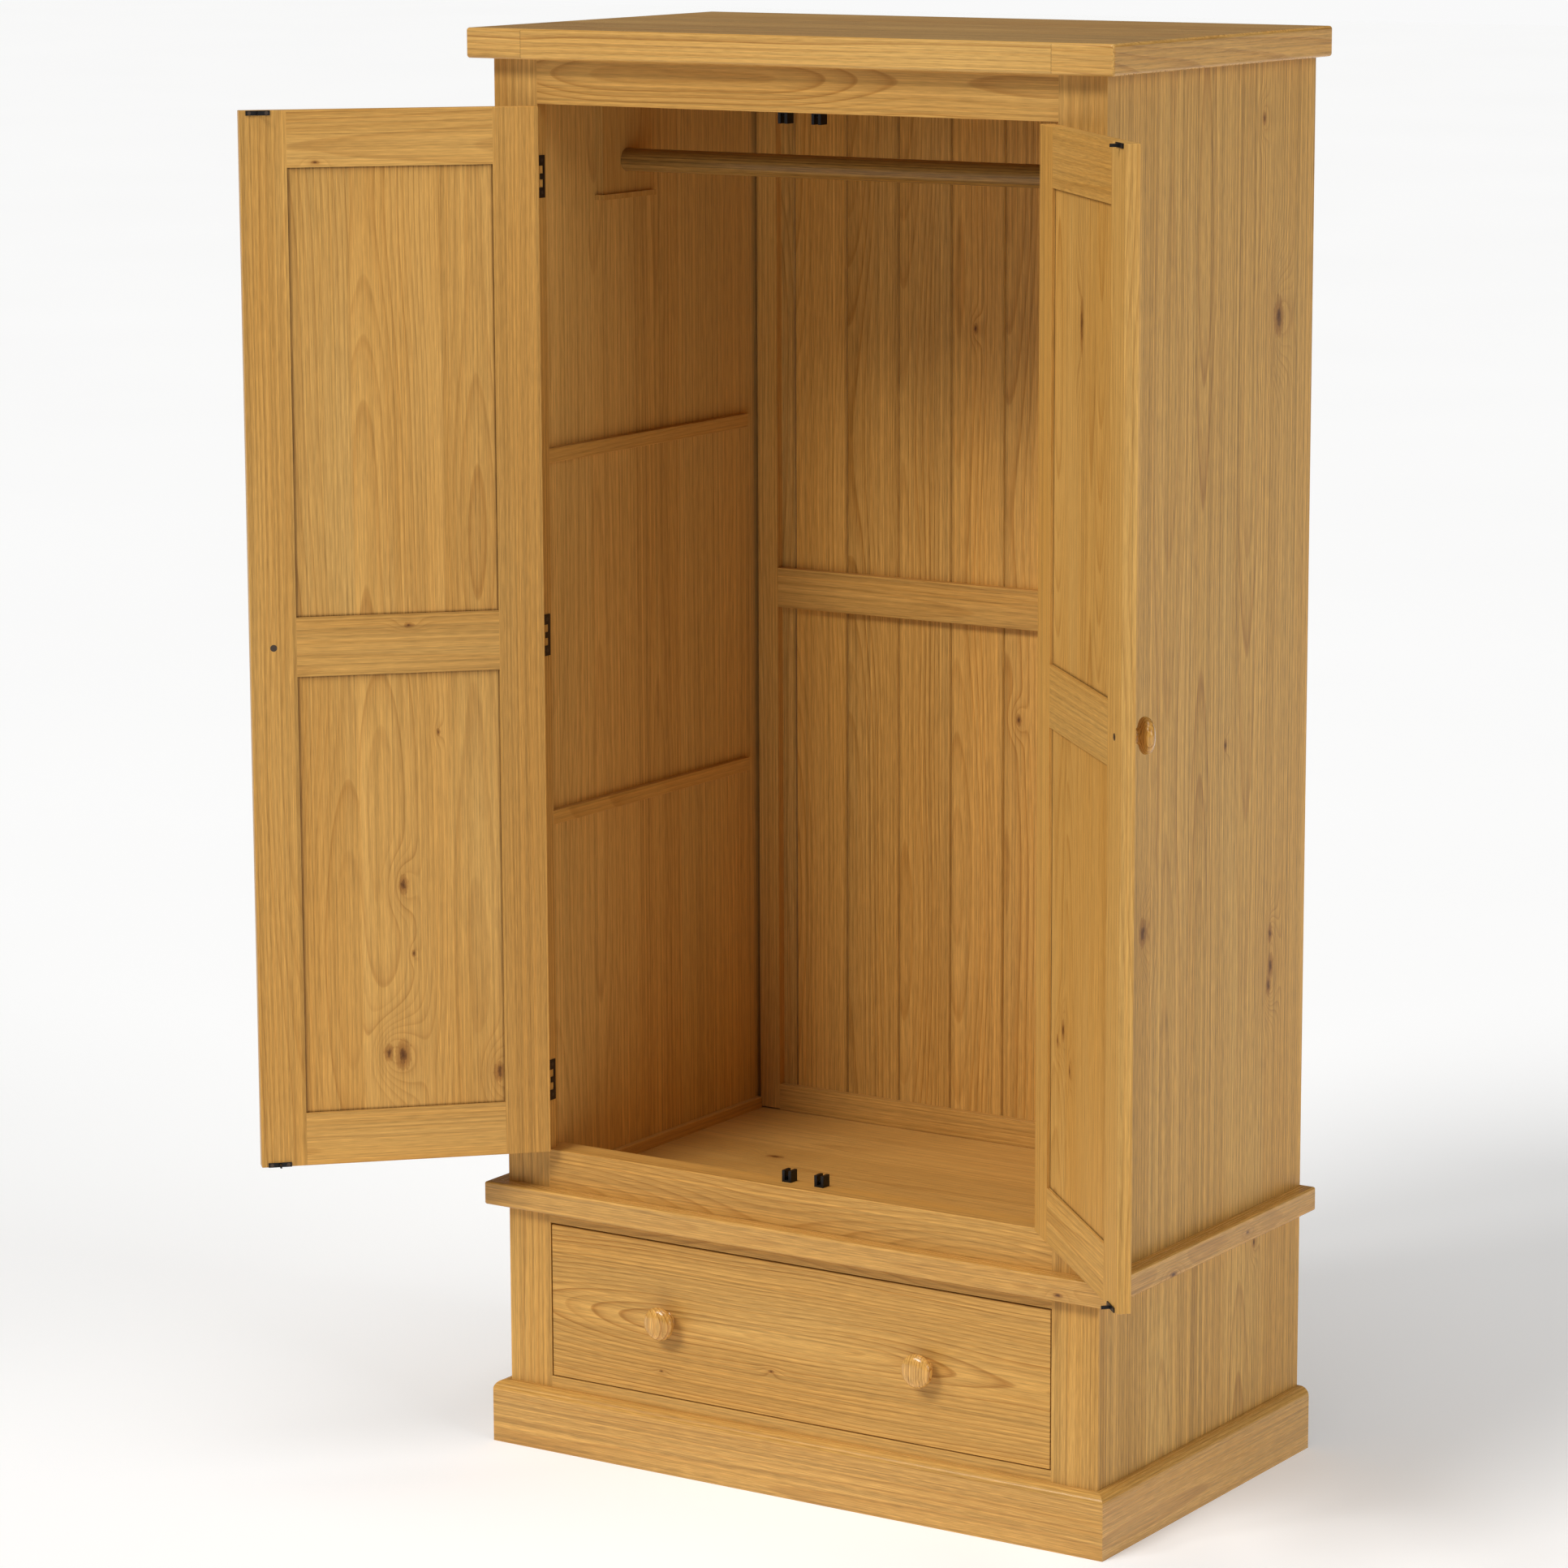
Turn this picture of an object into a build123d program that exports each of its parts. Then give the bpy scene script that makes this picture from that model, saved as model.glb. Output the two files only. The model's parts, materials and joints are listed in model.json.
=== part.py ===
from build123d import *
import os

# Pine wardrobe: two framed doors over one drawer, with a rail in the hanging space.
# Millimetres. +Z is up, the front faces -Y and the width runs along X. The origin is at
# floor level, in the middle of the back edge, where the wardrobe meets a wall.

os.makedirs("parts", exist_ok=True)

# ---------------------------------------------------------------- driving dimensions
overall_height = 1900.0
body_width = 912.0
body_depth = 542.0
arris_radius = 1.0

top_thickness = 39.0
top_overhang_side = 24.0
top_overhang_front = 28.0
top_edge_radius = 4.0

# face frame
frame_thickness = 18.0
stile_width = 68.0
head_rail_height = 58.0
sill_rail_height = 102.0
drawer_opening_bottom = 100.0
drawer_opening_height = 213.0
drawer_rail_thickness = 18.0
drawer_rail_depth = 62.0
tenon_thickness = 6.0
tenon_length = 30.0
tenon_shoulder = 8.0
drawer_rail_shoulder = 3.0
joint_clearance = 0.15
mortise_end_room = 0.6

# side walls: an outer panel, an inner panel and a frame of posts and rails between them
outer_side_thickness = 18.0
inner_side_thickness = 12.0
inner_side_setback = 9.0
foot_clearance = 3.0
post_depth = 45.0
wall_rail_height = 45.0

# back
back_board_thickness = 12.0
back_board_pitch = 84.0
back_board_foot = 60.0
back_board_play = 0.5
tongue_thickness = 4.0
tongue_length = 6.0
tongue_play = 0.3
board_chamfer = 2.0
back_frame_thickness = 12.0
back_stile_width = 32.0
back_stile_side_gap = 7.0
back_stile_foot_gap = 2.0
back_head_rail_height = 60.0
back_mid_rail_bottom = 1082.5
back_mid_rail_height = 55.0
back_foot_rail_height = 37.0

# cabinet floor and the strips on the inner walls
floor_drop = 52.0
floor_thickness = 15.0
housing_depth = 4.0
strip_thickness = 9.0
floor_strip_height = 15.0
batten_height = 19.0
batten_back_gap = 27.0
upper_batten_rise = 972.0
lower_batten_rise = 490.0
backing_section = 22.0

# plinth and waist moulding
plinth_height = 85.0
plinth_projection = 18.0
plinth_edge_radius = 13.0
plinth_back_height = 60.0
waist_projection = 23.0
waist_height = 32.0
waist_drop = 52.0
waist_edge_radius = 3.0

# hanging rail
rail_diameter = 30.0
rail_drop = 141.0
rail_setback = 202.0
rail_socket_depth = 6.0
rail_play = 0.3
rail_support_thickness = 10.0
rail_support_width = 115.0
rail_support_tail = 43.0
ledge_height = 7.0
ledge_projection = 4.0

# doors
door_thickness = 18.0
door_side_gap = 1.5
door_meeting_gap = 2.0
door_head_gap = 1.5
door_foot_gap = 2.0
door_stile_width = 60.0
door_top_rail_height = 73.0
door_mid_rail_height = 78.0
door_bottom_rail_height = 71.0
door_panel_thickness = 10.0
door_groove_depth = 9.0
door_panel_play = 0.2
door_tenon_length = 32.0
door_panel_shrinkage = 1.0
door_open_angle = 135.0

# knobs
knob_radius = 22.5
knob_projection = 30.0
knob_base_radius = 12.0
knob_neck_radius = 8.5
knob_neck_flare = 1.2
knob_foot_height = 1.6
knob_screw_length = 30.0
knob_screw_radius = 2.0
knob_screw_head_radius = 4.5
knob_screw_head_height = 2.4

# flush hinges: the door leaf folds into a cut-out of the frame leaf
hinge_height = 55.0
hinge_inset = 92.0
leaf_thickness = 1.2
leaf_depth = 13.0
leaf_arm_height = 13.5
leaf_lobe_height = 10.2
leaf_play = 0.4
leaf_neck_depth = 3.0
leaf_spine_width = 3.5
knuckle_radius = 2.5
knuckle_offset = 3.0
knuckle_play = 0.3
hinge_pin_radius = 1.0
hinge_pin_play = 0.05
hinge_screw_radius = 1.4
hinge_screw_head_radius = 2.5
hinge_screw_length = 14.0
leaf_setback = 1.0
lobe_screw_lead = 1.0
screw_play = 0.05

# double ball catches and their strikers
catch_offset = 25.0
catch_width = 14.0
catch_depth = 15.0
catch_height = 15.5
catch_front_gap = 4.0
catch_slot_width = 6.0
catch_base_thickness = 2.5
ball_radius = 2.5
ball_reach = 1.4
ball_play = 0.1
striker_length = 31.0
striker_height = 6.0
striker_thickness = 1.5
striker_tongue_thickness = 2.2
striker_tongue_height = 4.0
striker_tongue_reach = 12.5
striker_screw_spacing = 22.0
striker_screw_radius = 1.2
striker_screw_head_radius = 2.4
striker_screw_head_height = 1.2
striker_screw_length = 11.0

# drawer
drawer_side_gap = 1.8
drawer_foot_gap = 1.5
drawer_head_gap = 2.0
drawer_front_thickness = 18.0
drawer_side_thickness = 13.0
drawer_side_drop = 24.5
drawer_side_length = 460.0
drawer_side_inset = 1.2
drawer_back_thickness = 12.0
drawer_bottom_thickness = 6.0
drawer_bottom_rise = 10.0
drawer_groove_depth = 6.0
drawer_play = 0.15
dovetail_count = 5
dovetail_root_share = 0.6
dovetail_length = 12.0
dovetail_flare = 2.0
drawer_knob_spacing = 400.0
runner_width = 37.0
runner_thickness = 20.0
runner_gap = 0.3
guide_height = 40.0
guide_gap = 0.5
stop_height = 30.0
stop_length = 22.0

# ---------------------------------------------------------------- derived places
half_body = body_width / 2
front = -body_depth
frame_back = front + frame_thickness
top_underside = overall_height - top_thickness
half_opening = half_body - stile_width
wall_face = half_opening + inner_side_setback
wall_inner_back = wall_face + inner_side_thickness
outer_side_face = half_body - outer_side_thickness
boards_front = -back_board_thickness
back_frame_front = boards_front - back_frame_thickness

drawer_rail_underside = drawer_opening_bottom - drawer_rail_thickness
drawer_opening_top = drawer_opening_bottom + drawer_opening_height
sill_top = drawer_opening_top + sill_rail_height
head_bottom = top_underside - head_rail_height
floor_top = sill_top - floor_drop
waist_top = sill_top - waist_drop

door_bottom = sill_top + door_foot_gap
door_top = head_bottom - door_head_gap
door_middle = (door_top + door_bottom) / 2
door_edge = half_opening - door_side_gap
door_width = door_edge - door_meeting_gap / 2
door_back = front + door_thickness

hinge_axis_x = half_opening - door_side_gap / 2
hinge_axis_y = front - knuckle_offset


# ---------------------------------------------------------------- helpers
def block(x0, x1, y0, y1, z0, z1):
    """A box between two corners, given in any order."""
    size = (abs(x1 - x0), abs(y1 - y0), abs(z1 - z0))
    return Pos((x0 + x1) / 2, (y0 + y1) / 2, (z0 + z1) / 2) * Box(*size)


def prism(outline, z0, z1):
    """A plan outline raised from z0 to z1."""
    return Pos(0, 0, z0) * extrude(make_face(Polyline(*outline, close=True)), z1 - z0)


def mirrored(shape):
    """The same piece on the other side of the middle."""
    return mirror(shape, about=Plane.YZ)


def group(pieces):
    """Separate solids that share one node."""
    return Compound(children=[solid for piece in pieces for solid in piece.solids()])


def save(name, shape):
    """Write one node, keeping its solids separate."""
    solids = shape.solids()
    export_step(solids[0] if len(solids) == 1 else Compound(children=solids), f"parts/{name}.step")


def save_pair(name, shape):
    """Write a left-hand piece and its mirror image."""
    save(f"{name}_left", shape)
    save(f"{name}_right", mirrored(shape))


def rod(radius, start, direction, length):
    """A round bar from a point along a direction."""
    return extrude(Plane(start, z_dir=direction) * Circle(radius), length)


def screw(start, direction, radius, head_radius, length, head_height, play=0.0):
    """A countersunk screw: start is the middle of its head, direction the way it is driven.

    With play it is the hole that clears the screw.
    """
    place = Plane(start, z_dir=direction)
    head = Cone(head_radius + play, radius + play, head_height, align=(Align.CENTER, Align.CENTER, Align.MIN))
    shank = rod(radius + play, start, direction, length + play)
    return place * head + shank


def same(a, b):
    """Whether two coordinates are the same place."""
    return abs(a - b) < 0.01


def chosen_edges(shape, test):
    """The edges of a piece whose middle passes a test."""
    return [edge for edge in shape.edges() if test(edge @ 0.5)]


def rounded(shape, test):
    """A piece with the arrises that pass a test rounded over."""
    return fillet(chosen_edges(shape, test), arris_radius)


# ---------------------------------------------------------------- hinges, on the left side
arm_top = hinge_height / 2
lobe_outer = arm_top - leaf_arm_height
lobe_inner = lobe_outer - leaf_lobe_height
hinge_heights = [door_bottom + hinge_inset, door_middle, door_top - hinge_inset]
leaf_front = front + leaf_setback
leaf_back = leaf_front + leaf_depth
leaf_screw_y = leaf_front + leaf_depth / 2
lobe_screw_z = (lobe_outer + lobe_inner) / 2
arm_screw_z = lobe_outer + leaf_arm_height / 2


def on_axis(radius, z0, z1):
    """A round bar along the hinge axis between two heights, given in any order."""
    return rod(radius, (-hinge_axis_x, hinge_axis_y, min(z0, z1)), (0, 0, 1), abs(z1 - z0))


def pin_bore(z):
    """The bore through the knuckles of one hinge, which clears its pin."""
    return on_axis(hinge_pin_radius + hinge_pin_play, z - arm_top, z + arm_top)


def frame_leaf(z):
    """The outer leaf, fixed to the edge of the front stile: two arms, a short middle arm and a spine."""
    x0 = -half_opening
    x1 = x0 + leaf_thickness
    spine_front = leaf_back - leaf_spine_width
    leaf = block(x0, x1, leaf_front, leaf_back, z - arm_top, z + arm_top)
    leaf -= block(x0, x1, leaf_front, leaf_front + leaf_neck_depth, z - lobe_outer, z + lobe_outer)
    for side in (-1, 1):
        inner = z + side * lobe_inner
        outer = z + side * lobe_outer
        top = z + side * arm_top
        leaf -= block(x0, x1, leaf_front, spine_front, inner, outer)
        leaf += block(x0, x1, hinge_axis_y, leaf_front, outer, top)
        leaf += on_axis(knuckle_radius, outer, top)
    return leaf - pin_bore(z)


def door_leaf(z):
    """The inner leaf, fixed to the edge of the door: two lobes that fit the frame leaf's cut-out."""
    x1 = -door_edge
    x0 = x1 - leaf_thickness
    half = lobe_outer - leaf_play
    lobe_back = leaf_back - leaf_spine_width - leaf_play
    leaf = block(x0, x1, leaf_front, leaf_front + leaf_neck_depth - leaf_play, z - half, z + half)
    for side in (-1, 1):
        leaf += block(x0, x1, leaf_front, lobe_back, z + side * (lobe_inner + leaf_play), z + side * half)
    leaf += block(x0, x1, hinge_axis_y, leaf_front, z - half, z + half)
    reach = lobe_outer - knuckle_play
    leaf += on_axis(knuckle_radius, z - reach, z + reach)
    return leaf - pin_bore(z)


def hinge_pin(z):
    """The pin through one hinge."""
    return on_axis(hinge_pin_radius, z - arm_top, z + arm_top)


def frame_screws(play=0.0):
    """The screws of the frame leaves, driven into the front stile."""
    places = [z + side * arm_screw_z for z in hinge_heights for side in (-1, 1)]
    start_x = -half_opening + leaf_thickness
    sizes = (hinge_screw_radius, hinge_screw_head_radius, hinge_screw_length, leaf_thickness, play)
    return [screw((start_x, leaf_screw_y, z), (-1, 0, 0), *sizes) for z in places]


def leaf_screws(play=0.0):
    """The screws of the door leaves, driven into the hinge stile."""
    places = [z + side * lobe_screw_z for z in hinge_heights for side in (-1, 1)]
    start_x = -door_edge - leaf_thickness
    sizes = (hinge_screw_radius, hinge_screw_head_radius, hinge_screw_length, leaf_thickness, play)
    return [screw((start_x, leaf_screw_y - lobe_screw_lead, z), (1, 0, 0), *sizes) for z in places]


# ---------------------------------------------------------------- top board and face frame
def top_board():
    """The thick top, with every outer edge eased."""
    slab = block(
        -half_body - top_overhang_side,
        half_body + top_overhang_side,
        front - top_overhang_front,
        0,
        top_underside,
        overall_height,
    )
    return fillet(slab.edges(), top_edge_radius)


def tenon(z0, z1, shoulder, play=0.0):
    """The left tenon of a face-frame rail, rooted in the rail, or with play the mortise that takes it."""
    end_room = mortise_end_room if play else 0.0
    middle = front + frame_thickness / 2
    return block(
        -half_opening - tenon_length - end_room,
        -half_opening + tenon_thickness,
        middle - tenon_thickness / 2 - play,
        middle + tenon_thickness / 2 + play,
        z0 + shoulder - play,
        z1 - shoulder + play,
    )


def face_rail(z0, z1):
    """A rail between the front stiles, with a tenon at each end."""
    left = tenon(z0, z1, tenon_shoulder)
    rail = block(-half_opening, half_opening, front, frame_back, z0, z1)
    rail = rounded(rail, lambda p: same(p.Y, front) and same(p.X, 0) and p.Z < top_underside - arris_radius)
    return rail + left + mirrored(left)


def drawer_rail():
    """The rail under the drawer, laid flat, wider behind the stiles than between them."""
    z0 = drawer_rail_underside
    z1 = drawer_opening_bottom
    back = front + drawer_rail_depth
    rail = block(-half_opening, half_opening, front, back, z0, z1)
    rail = rounded(rail, lambda p: same(p.Y, front) and same(p.Z, z1))
    rail += block(-wall_face, wall_face, frame_back, back, z0, z1)
    left = tenon(z0, z1, drawer_rail_shoulder)
    return rail + left + mirrored(left)


def front_stile():
    """The left stile of the face frame, mortised for the rails and drilled for the hinges."""
    stile = block(-half_body, -half_opening, front, frame_back, foot_clearance, top_underside)
    stile = rounded(stile, lambda p: same(p.X, -half_body) and same(p.Y, front))
    stile -= tenon(head_bottom, top_underside, tenon_shoulder, joint_clearance)
    stile -= tenon(drawer_opening_top, sill_top, tenon_shoulder, joint_clearance)
    stile -= tenon(drawer_rail_underside, drawer_opening_bottom, drawer_rail_shoulder, joint_clearance)
    for hole in frame_screws(screw_play):
        stile -= hole
    return stile


# ---------------------------------------------------------------- side walls and floor
def inner_side():
    """The left inner panel, with a housing for the cabinet floor."""
    panel = block(-wall_inner_back, -wall_face, frame_back, boards_front, foot_clearance, top_underside)
    housing = block(
        -wall_face - housing_depth,
        -wall_face,
        frame_back,
        boards_front,
        floor_top - floor_thickness - joint_clearance,
        floor_top + joint_clearance,
    )
    return panel - housing


def side_frame():
    """Posts and rails between the two panels of the left wall."""
    x0 = -outer_side_face
    x1 = -wall_inner_back
    front_post_back = frame_back + post_depth
    back_post_front = boards_front - post_depth
    posts = [
        block(x0, x1, frame_back, front_post_back, foot_clearance, top_underside),
        block(x0, x1, back_post_front, boards_front, foot_clearance, top_underside),
    ]
    feet = [top_underside - wall_rail_height, floor_top - wall_rail_height, plinth_back_height]
    rails = [block(x0, x1, front_post_back, back_post_front, z, z + wall_rail_height) for z in feet]
    return group(posts + rails)


def cabinet_floor():
    """The floor of the hanging space, held in the housings of the inner panels."""
    reach = wall_face + housing_depth - joint_clearance
    return block(-reach, reach, frame_back, boards_front, floor_top - floor_thickness, floor_top)


def wall_strips():
    """Two shelf battens and one floor strip on each inner wall."""
    x0 = -wall_face
    x1 = -wall_face + strip_thickness
    batten_back = back_frame_front - batten_back_gap
    strips = [
        block(x0, x1, frame_back, batten_back, floor_top + rise, floor_top + rise + batten_height)
        for rise in (lower_batten_rise, upper_batten_rise)
    ]
    strip_front = frame_back + backing_section
    strips.append(block(x0, x1, strip_front, back_frame_front, floor_top, floor_top + floor_strip_height))
    strips = [rounded(strip, lambda p: same(p.X, x1) and p.Z > floor_top + arris_radius) for strip in strips]
    return group(strips + [mirrored(strip) for strip in strips])


def backing(z0):
    """A batten behind a face-frame rail, which carries two catches."""
    back = frame_back + backing_section
    batten = block(-wall_face, wall_face, frame_back, back, z0, z0 + backing_section)
    return rounded(batten, lambda p: same(p.Y, back) and same(p.X, 0))


# ---------------------------------------------------------------- back
def back_joints():
    """Where the back boards meet, from the middle outwards."""
    count = int((outer_side_face - back_board_play) // back_board_pitch)
    inner = count - 1 if outer_side_face - count * back_board_pitch < back_board_pitch / 2 else count
    return [k * back_board_pitch for k in range(-inner, inner + 1)]


def back_board(x0, x1, first, last):
    """One tongue-and-groove board, chamfered on the side that faces the inside."""
    middle = boards_front / 2
    half_tongue = tongue_thickness / 2
    half_groove = half_tongue + tongue_play / 2
    depth = tongue_length + tongue_play
    left = [(x0, 0), (x0, boards_front)]
    if not first:
        left = [
            (x0, 0),
            (x0, middle + half_groove),
            (x0 + depth, middle + half_groove),
            (x0 + depth, middle - half_groove),
            (x0, middle - half_groove),
            (x0, boards_front + board_chamfer),
            (x0 + board_chamfer, boards_front),
        ]
    right = [(x1, boards_front), (x1, 0)]
    if not last:
        right = [
            (x1 - board_chamfer, boards_front),
            (x1, boards_front + board_chamfer),
            (x1, middle - half_tongue),
            (x1 + tongue_length, middle - half_tongue),
            (x1 + tongue_length, middle + half_tongue),
            (x1, middle + half_tongue),
            (x1, 0),
        ]
    return prism(left + right, back_board_foot, top_underside)


def back_boards():
    """All the boards, side by side between the outer side panels."""
    edge = outer_side_face - back_board_play
    places = [-edge] + back_joints() + [edge]
    last = len(places) - 2
    return group([back_board(places[i], places[i + 1], i == 0, i == last) for i in range(last + 1)])


def back_rail(z0, z1):
    """A rail of the back frame, between its stiles."""
    reach = wall_face - back_stile_side_gap - back_stile_width
    rail = block(-reach, reach, back_frame_front, boards_front, z0, z1)
    return rounded(rail, lambda p: same(p.Y, back_frame_front) and same(p.X, 0))


def back_stile():
    """The left stile of the back frame, standing just clear of the floor."""
    x0 = -wall_face + back_stile_side_gap
    z0 = floor_top + back_stile_foot_gap
    return block(x0, x0 + back_stile_width, back_frame_front, boards_front, z0, top_underside)


# ---------------------------------------------------------------- plinth and waist moulding
def mitred_front(projection, z0, z1):
    """The front length of a moulding, mitred at both ends."""
    out = half_body + projection
    y = front - projection
    return prism([(-out, y), (out, y), (half_body, front), (-half_body, front)], z0, z1)


def mitred_side(projection, z0, z1):
    """The left length of a moulding, mitred at the front."""
    out = half_body + projection
    y = front - projection
    return prism([(-half_body, front), (-out, y), (-out, 0), (-half_body, 0)], z0, z1)


def eased(shape, projection, heights, radius):
    """Round the outer long edges of a moulding at the given heights."""

    def outer(point):
        on_front = same(point.Y, front - projection)
        on_side = same(abs(point.X), half_body + projection)
        return (on_front or on_side) and any(same(point.Z, z) for z in heights)

    return fillet(chosen_edges(shape, outer), radius)


def plinth_back():
    """The back length of the plinth, between the inner panels."""
    reach = wall_face - back_board_play
    return block(-reach, reach, -frame_thickness, 0, 0, plinth_back_height)


# ---------------------------------------------------------------- hanging rail
rail_y = front + rail_setback
rail_z = top_underside - rail_drop
support_face = wall_face - rail_support_thickness


def rail_support():
    """The left support: a board with a socket for the rail, and a ledge under it."""
    y0 = rail_y - rail_support_width / 2
    y1 = rail_y + rail_support_width / 2
    z0 = rail_z - rail_support_tail
    board = block(-wall_face, -support_face, y0, y1, z0, top_underside)
    board = rounded(board, lambda p: same(p.X, -support_face) and not same(p.Y, rail_y))
    start = (-support_face - rail_socket_depth, rail_y, rail_z)
    board -= rod(rail_diameter / 2 + rail_play, start, (1, 0, 0), rail_socket_depth)
    reach = rail_support_thickness + ledge_projection
    ledge = block(
        -wall_face, -wall_face + reach, y0 - ledge_projection, y1 + ledge_projection, z0 - ledge_height, z0
    )
    return group([board, ledge])


def hanging_rail():
    """The round rail, let into both supports."""
    reach = support_face + rail_socket_depth - rail_play
    return rod(rail_diameter / 2, (-reach, rail_y, rail_z), (1, 0, 0), 2 * reach)


# ---------------------------------------------------------------- catches, on the left of the middle
catch_y0 = door_back + catch_front_gap
catch_y1 = catch_y0 + catch_depth
ball_y = (catch_y0 + catch_y1) / 2
lower_striker_z = door_bottom + striker_height / 2
upper_striker_z = door_top - striker_height / 2
ball_offset = catch_slot_width / 2 + ball_radius - ball_reach


def catch_case(base, up):
    """One catch case on a batten: base is the face it stands on, up is 1 or -1."""
    x0 = -catch_offset - catch_width / 2
    case = block(x0, x0 + catch_width, catch_y0, catch_y1, base, base + up * catch_height)
    slot_x = -catch_offset - catch_slot_width / 2
    case -= block(
        slot_x,
        slot_x + catch_slot_width,
        catch_y0,
        catch_y1,
        base + up * catch_base_thickness,
        base + up * catch_height,
    )
    z = lower_striker_z if up > 0 else upper_striker_z
    reach = ball_offset + ball_radius + ball_play
    case -= rod(ball_radius + ball_play, (-catch_offset - reach, ball_y, z), (1, 0, 0), 2 * reach)
    return case


def catch_balls():
    """The two balls of a lower and an upper catch."""
    places = [(side, z) for side in (-1, 1) for z in (lower_striker_z, upper_striker_z)]
    return [Pos(-catch_offset + side * ball_offset, ball_y, z) * Sphere(ball_radius) for side, z in places]


def striker_screws(play=0.0):
    """The four screws of the left door's strikers."""
    sizes = (
        striker_screw_radius,
        striker_screw_head_radius,
        striker_screw_length,
        striker_screw_head_height,
        play,
    )
    head_y = door_back + striker_thickness
    return [
        screw((-catch_offset + side * striker_screw_spacing / 2, head_y, z), (0, -1, 0), *sizes)
        for side in (-1, 1)
        for z in (lower_striker_z, upper_striker_z)
    ]


def strikers():
    """The striker plates of the left door, each with a tongue that enters its catch."""
    plates = []
    x0 = -catch_offset - striker_length / 2
    plate_back = door_back + striker_thickness
    tongue_x0 = -catch_offset - striker_tongue_thickness / 2
    half_tongue = striker_tongue_height / 2
    for z in (lower_striker_z, upper_striker_z):
        z0 = z - striker_height / 2
        plate = block(x0, x0 + striker_length, door_back, plate_back, z0, z0 + striker_height)
        plate += block(
            tongue_x0,
            tongue_x0 + striker_tongue_thickness,
            door_back,
            door_back + striker_tongue_reach,
            z - half_tongue,
            z + half_tongue,
        )
        for hole in striker_screws(screw_play):
            plate -= hole
        plates.append(plate)
    return plates


# ---------------------------------------------------------------- left door, built closed
stile_inner = -door_edge + door_stile_width
lock_inner = -door_edge + door_width - door_stile_width
door_centre_y = front + door_thickness / 2
groove_half = door_panel_thickness / 2 + door_panel_play
rail_spans = {
    "bottom": (door_bottom, door_bottom + door_bottom_rail_height),
    "middle": (door_middle - door_mid_rail_height / 2, door_middle + door_mid_rail_height / 2),
    "top": (door_top - door_top_rail_height, door_top),
}
panel_spans = [
    (rail_spans["bottom"][1], rail_spans["middle"][0]),
    (rail_spans["middle"][1], rail_spans["top"][0]),
]
knob_x = -door_edge + door_width - door_stile_width / 2


def door_tenons(z0, z1, play=0.0):
    """Both tenons of a door rail, or with play their mortises."""
    end_room = mortise_end_room if play else 0.0
    return [
        block(
            inner,
            inner + way * (door_tenon_length + end_room),
            door_centre_y - door_panel_thickness / 2 - play,
            door_centre_y + door_panel_thickness / 2 + play,
            z0 + tenon_shoulder - play,
            z1 - tenon_shoulder + play,
        )
        for inner, way in ((stile_inner, -1), (lock_inner, 1))
    ]


def panel_room(z0, z1):
    """The space that a panel and its grooves take up in the frame of the door."""
    return block(
        stile_inner - door_groove_depth,
        lock_inner + door_groove_depth,
        door_centre_y - groove_half,
        door_centre_y + groove_half,
        z0 - door_groove_depth,
        z1 + door_groove_depth,
    )


def door_frame_piece(piece, cuts):
    """A stile or rail, rounded on the door's outer arrises, less the panels' grooves and its own cuts."""

    def outer(point):
        at_side = same(point.X, -door_edge) or same(point.X, -door_edge + door_width)
        at_end = same(point.Z, door_bottom) or same(point.Z, door_top)
        on_face = same(point.Y, front) or same(point.Y, door_back)
        return (at_side or at_end) and (on_face or (at_side and at_end))

    if chosen_edges(piece, outer):
        piece = rounded(piece, outer)
    for span in panel_spans:
        piece -= panel_room(*span)
    for cut in cuts:
        piece -= cut
    return piece


def knob_screw(face_x, face_y, face_z, depth, play=0.0):
    """The screw that holds a knob, driven forwards from the back of a door or drawer front."""
    sizes = (knob_screw_radius, knob_screw_head_radius, depth, knob_screw_head_height, play)
    return screw((face_x, face_y, face_z), (0, -1, 0), *sizes)


def knob(x, y, z, board_thickness):
    """A turned knob whose base stands on the plane y, pointing forwards, drilled for its screw."""
    # points of the profile from the dome to the neck, as shares of the radius and the projection
    shares = [(0.45, 0.975), (0.8, 0.89), (0.96, 0.78), (1.0, 0.67), (0.97, 0.57), (0.8, 0.48), (0.54, 0.4)]
    side = [(knob_radius * r, knob_projection * h) for r, h in shares]
    neck = [
        (knob_neck_radius, knob_projection * 0.27),
        (knob_neck_radius + knob_neck_flare, knob_projection * 0.13),
    ]
    foot = (knob_base_radius, knob_foot_height)
    curve = Spline([(0, knob_projection)] + side + neck + [foot], tangents=[(1, 0), (1, -0.6)])
    outline = [
        curve,
        Line(foot, (knob_base_radius, 0)),
        Line((knob_base_radius, 0), (0, 0)),
        Line((0, 0), (0, knob_projection)),
    ]
    turned = revolve(make_face(outline), Axis.Y, 360)
    placed = Pos(x, y, z) * Rot(180, 0, 0) * turned
    depth = knob_screw_length - board_thickness + screw_play
    return placed - rod(knob_screw_radius + screw_play, (x, y, z), (0, -1, 0), depth)


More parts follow.
